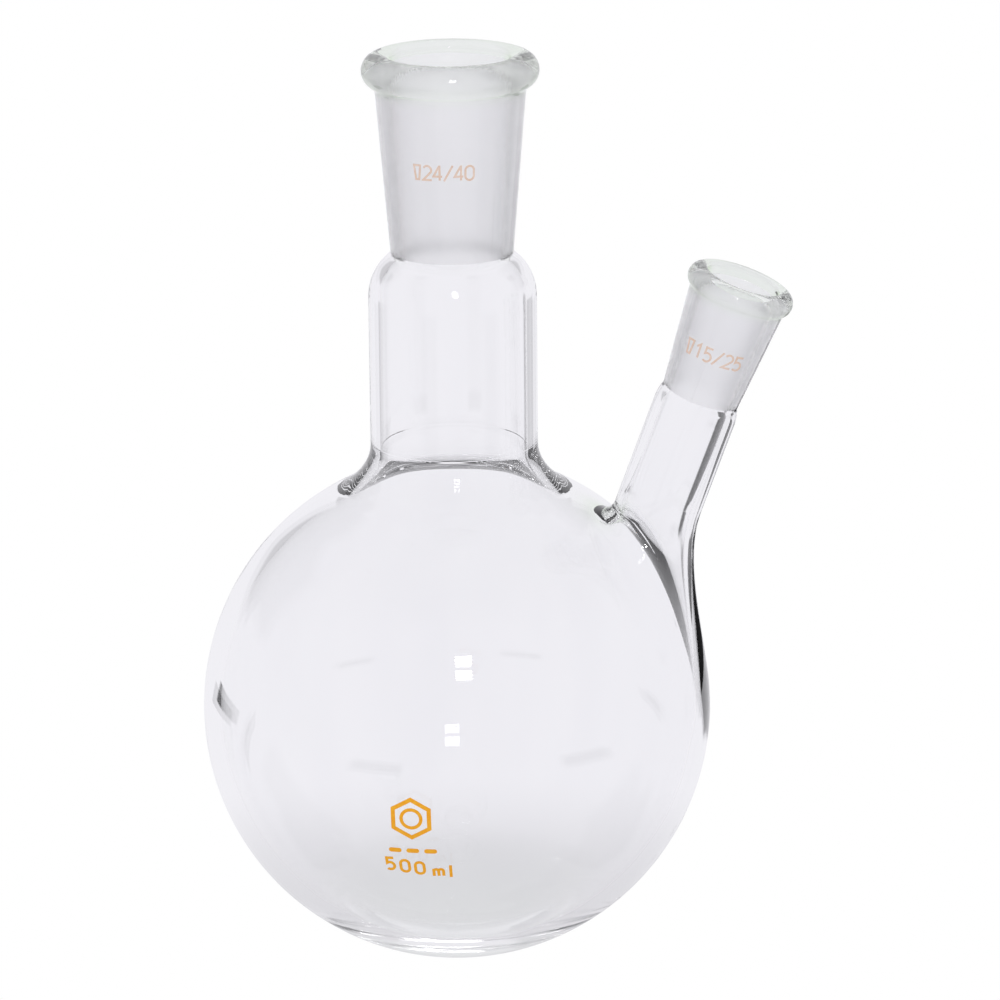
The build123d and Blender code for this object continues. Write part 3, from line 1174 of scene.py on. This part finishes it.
@dataclass
class Studio:
    """White table, soft light from all round with dark flags in it, and a long lens."""

    azimuth: float = radians(10)
    elevation: float = radians(15.8)
    roll: float = radians(-0.5)
    lens: float = 198.0
    distance: float = 1142.5
    aim_right: float = 8.9  # from the bulb's centre, as the camera sees it
    aim_up: float = 42.4
    floor_r: float = 350.0
    floor_drop: float = 0.2  # keeps the table clear of the bulb's lowest point
    painted_shadow_radii: tuple = (25.0, 110.0)  # radii between which the painted shadow of the flask fades, the table brightening away from it
    # light left in the middle of the painted shadow under the flask
    painted_shadow_light: float = 0.8
    dark_from: float = 245.0  # where the table darkens with the painted shade of the low flag, in front of it
    dark_soft: float = 8.0
    sky: tuple = (0.885, 0.878, 0.915)
    low_flag: Card = Card(13, 35, -30, -12)
    high_flag: Card = Card(13, 35, 10, 36)
    left_flag: Card = Card(-56, -32, 3, 44)
    soft_box: Card = Card(-86, -50, -12, 50, soft=8)
    right_black: float = 0.88  # how much of the light the flags take away
    left_black: float = 0.93
    table_black: float = 0.96
    bounced_black: float = 0.35  # what is left of that for light that bounced in the glass
    ceiling_gain: float = 2.2  # extra light from above
    ceiling_span: tuple = (radians(45), radians(70))  # heights over which it comes in
    side_loss: float = 0.09  # light lost to either side of the camera's line
    side_span: tuple = (radians(14), radians(42))  # angles over which it is lost
    mirror_sky: float = 0.55  # what the outer skin mirrors, and the soft boxes in it
    mirror_box: float = 1.4

    def camera(self, centre: Vector) -> None:
        """Sets the camera.

        Args:
            centre: The bulb's centre, which the camera looks a little past.
        """
        a, e = self.azimuth, self.elevation
        back = Vector((sin(a) * cos(e), -cos(a) * cos(e), sin(e)))
        right = Vector((cos(a), sin(a), 0))
        up = back.cross(right)
        right, up = (
            right * cos(self.roll) + up * sin(self.roll),
            up * cos(self.roll) - right * sin(self.roll),
        )
        aim = centre + right * self.aim_right + up * self.aim_up
        data = bpy.data.cameras.new("camera")
        data.lens = self.lens
        data.sensor_width = 36
        data.clip_start, data.clip_end = 0.01, 20
        camera = bpy.data.objects.new("camera", data)
        turned = Matrix((right, up, back)).transposed().to_4x4()
        camera.matrix_world = Matrix.Translation((aim + back * self.distance) * MM) @ turned
        bpy.context.scene.collection.objects.link(camera)
        bpy.context.scene.camera = camera

    def floor(self) -> None:
        """Lays a white table top that glows like a light table: plain white to the camera, and to
        the glass a painted shadow round the flask and the painted shade of the low flag.
        """
        select_nothing()
        bpy.ops.mesh.primitive_circle_add(
            vertices=96, radius=self.floor_r * MM, fill_type="NGON", location=(0, 0, 0)
        )
        table = bpy.context.object
        table.name = "floor"
        material = bpy.data.materials.new("table_white")
        desk = Desk(material)
        place = desk.place()
        x, y, _ = desk.parts(place)
        away = desk.node("ShaderNodeVectorMath", {"operation": "LENGTH"}, {0: place}, "Value")
        # painted shadow of the flask: the table is darker near its foot, to the glass only
        past_painted_shadow = away.ramp(self.painted_shadow_radii[0] * MM, self.painted_shadow_radii[1] * MM)
        lit = self.painted_shadow_light + past_painted_shadow * (1 - self.painted_shadow_light)
        # painted shade of the low flag: a dark sector far out on the table, to the glass only
        past = away.ramp(self.dark_from * MM, (self.dark_from + self.dark_soft) * MM)
        dark = past * self.low_flag.facing(desk.heading(x, y)) * self.table_black
        shown = desk.seen_or(desk.tinted(self.sky, lit * (1 - dark)))
        desk.finish(desk.node("ShaderNodeEmission", None, {"Color": shown}))
        table.data.materials.append(material)
        table.location.z = -self.floor_drop * MM

    def surroundings(self) -> None:
        """Lights the scene from all round, with dark flags that the glass edges pick up."""
        world = bpy.data.worlds.new("studio")
        bpy.context.scene.world = world
        desk = Desk(world)
        x, y, z = desk.parts(desk.node("ShaderNodeTexCoord", None, None, "Generated"))
        heading = desk.heading(x, y)
        height = desk.node("ShaderNodeMath", {"operation": "ARCSINE"}, {0: z})
        straight = 1 - desk.path("Glossy Depth").ramp(0.2, 0.8)  # one before any bounce
        far_side = y.ramp(-0.1, 0.1)
        rows = self.low_flag.rising(height) + self.high_flag.rising(height) * far_side
        right = self.low_flag.facing(heading) * rows
        left = self.left_flag.facing(heading) * self.left_flag.rising(height) * far_side
        flags = 1 - (1 - right * self.right_black) * (1 - left * self.left_black)
        strength = self.bounced_black + straight * (1 - self.bounced_black)
        aside = (heading + self.azimuth) * (heading + self.azimuth)
        dim = aside.ramp(self.side_span[0] ** 2, self.side_span[1] ** 2) * straight
        shade = (1 - flags * strength) * (1 - dim * self.side_loss)
        overhead = height.ramp(*self.ceiling_span) * straight
        around = shade * (1 + overhead * self.ceiling_gain)
        boxes = self.soft_box.facing(heading) * self.soft_box.rising(height)
        mirrored = desk.path("Is Reflection Ray") * desk.path("Is Glossy Ray")
        mirrored = mirrored * (1 - desk.path("Ray Depth").ramp(1.2, 1.8))  # by the outer skin
        outside = self.mirror_sky + boxes * self.mirror_box
        through = around * (1 - mirrored) + mirrored * outside
        shown = desk.seen_or(desk.tinted(self.sky, through))
        desk.finish(desk.node("ShaderNodeBackground", None, {"Color": shown}))

    @staticmethod
    def light_paths() -> None:
        """Lets light bounce on inside the thick glass, and shows plain colours."""
        scene = bpy.context.scene
        scene.view_settings.view_transform = "Standard"
        scene.cycles.max_bounces = 48
        scene.cycles.transmission_bounces = 48
        scene.cycles.glossy_bounces = 40
        scene.cycles.diffuse_bounces = 24
        scene.cycles.transparent_max_bounces = 32

    def window(self) -> None:
        """Hangs a small barred soft box above and behind the camera."""
        panes, bars = 2, 3
        width, height, pitch = 120.0, 13.0, 26.0
        gap = 1.2  # between the panes, in bars
        away, energy = 1000.0, 0.22
        turn, rise = self.azimuth + radians(4), radians(36)
        back = Vector((sin(turn), -cos(turn), 0))
        out = back * cos(rise) + Vector((0, 0, sin(rise)))
        turned = out.to_track_quat("Z", "Y").to_matrix().to_4x4()
        for pane in range(panes):
            for bar in range(bars):
                data = bpy.data.lights.new(f"window_{pane}_{bar}", "AREA")
                data.shape = "RECTANGLE"
                data.size, data.size_y = width * MM, height * MM
                data.energy = energy
                lamp = bpy.data.objects.new(data.name, data)
                row = (pane - (panes - 1) / 2) * (bars + gap) + bar - (bars - 1) / 2
                spot = out * away + turned.to_3x3() @ Vector((0, row * pitch, 0))
                lamp.matrix_world = Matrix.Translation(spot * MM) @ turned
                lamp.visible_camera = False
                bpy.context.scene.collection.objects.link(lamp)


# ---- Flask ---------------------------------------------------------------
class Flask:
    """The whole flask, with the sizes that the frame gives."""

    def __init__(self) -> None:
        """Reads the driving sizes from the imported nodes."""
        bulb, neck, joint = (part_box(n) for n in ("bulb", "centre_neck", "centre_joint"))
        branch = Branch()
        radius = (bulb[1].y - bulb[0].y) / 2 / MM
        side_axis = branch.axis(radius)
        self.bulb = Bulb(branch, radius, bulb[1].z / MM, neck[1].x / MM)
        self.centre_joint = Socket(
            "centre_joint_glass", "centre_joint", self.bulb.axis, seam=joint[0].z / MM,
            ground_d=24.0, ground_length=40.0, foot_wall=2.5, head_wall=3.75,
            bead_r=3.5, bead_x=14.5, steps=self.bulb.steps,
        )
        self.side_joint = Socket(
            "side_joint_glass", "side_joint", side_axis, seam=72.6,
            ground_d=15.0, ground_length=25.0, foot_wall=1.73, head_wall=2.75,
            bead_r=2.4, bead_x=8.75, steps=self.bulb.side_steps,
        )
        self.centre_neck = Neck(
            "centre_neck_glass", "centre_neck", self.bulb.axis, radius=self.bulb.neck_r,
            wall=self.bulb.neck_wall, seam=self.bulb.neck_seam, shoulder=139.9,
            socket=self.centre_joint, steps=self.bulb.steps,
        )
        self.side_neck = Neck(
            "side_neck_glass", "side_neck", side_axis, radius=self.bulb.side_r,
            wall=self.bulb.side_wall, seam=self.bulb.side_seam, shoulder=69.0,
            socket=self.side_joint, steps=self.bulb.side_steps,
        )

    def build(self, finishes: Finishes) -> None:
        """Makes every glass piece and dresses the enamel.

        Args:
            finishes: The materials.
        """
        makers = (
            (self.bulb, Slot.CLEAR),
            (self.centre_neck, Slot.CLEAR),
            (self.centre_joint, Slot.GROUND),
            (self.side_neck, Slot.CLEAR),
            (self.side_joint, Slot.GROUND),
        )
        for maker, slot in makers:
            piece = maker.build(finishes)
            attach(piece, "root")
            log.info("%s: %d faces", piece.name, len(piece.data.polygons))
        marks = {
            "centre_joint_mark": (finishes.tan, Slot.TAN),
            "side_joint_mark": (finishes.tan, Slot.TAN),
            "capacity_mark": (finishes.amber, Slot.AMBER),
            "emblem_mark": (finishes.amber, Slot.AMBER),
        }
        for node, (material, slot) in marks.items():
            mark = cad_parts[node]
            mark.data.materials.clear()
            mark.data.materials.append(material)
            log.info("%s: enamel", node)


def main() -> None:
    """Builds the flask and its studio."""
    logging.basicConfig(level=logging.INFO, format="%(name)s: %(message)s")
    flask = Flask()
    flask.build(Finishes.make())
    studio = Studio()
    studio.camera(flask.bulb.centre)
    studio.floor()
    studio.surroundings()
    studio.window()
    studio.light_paths()


if __name__ == "__main__":
    main()
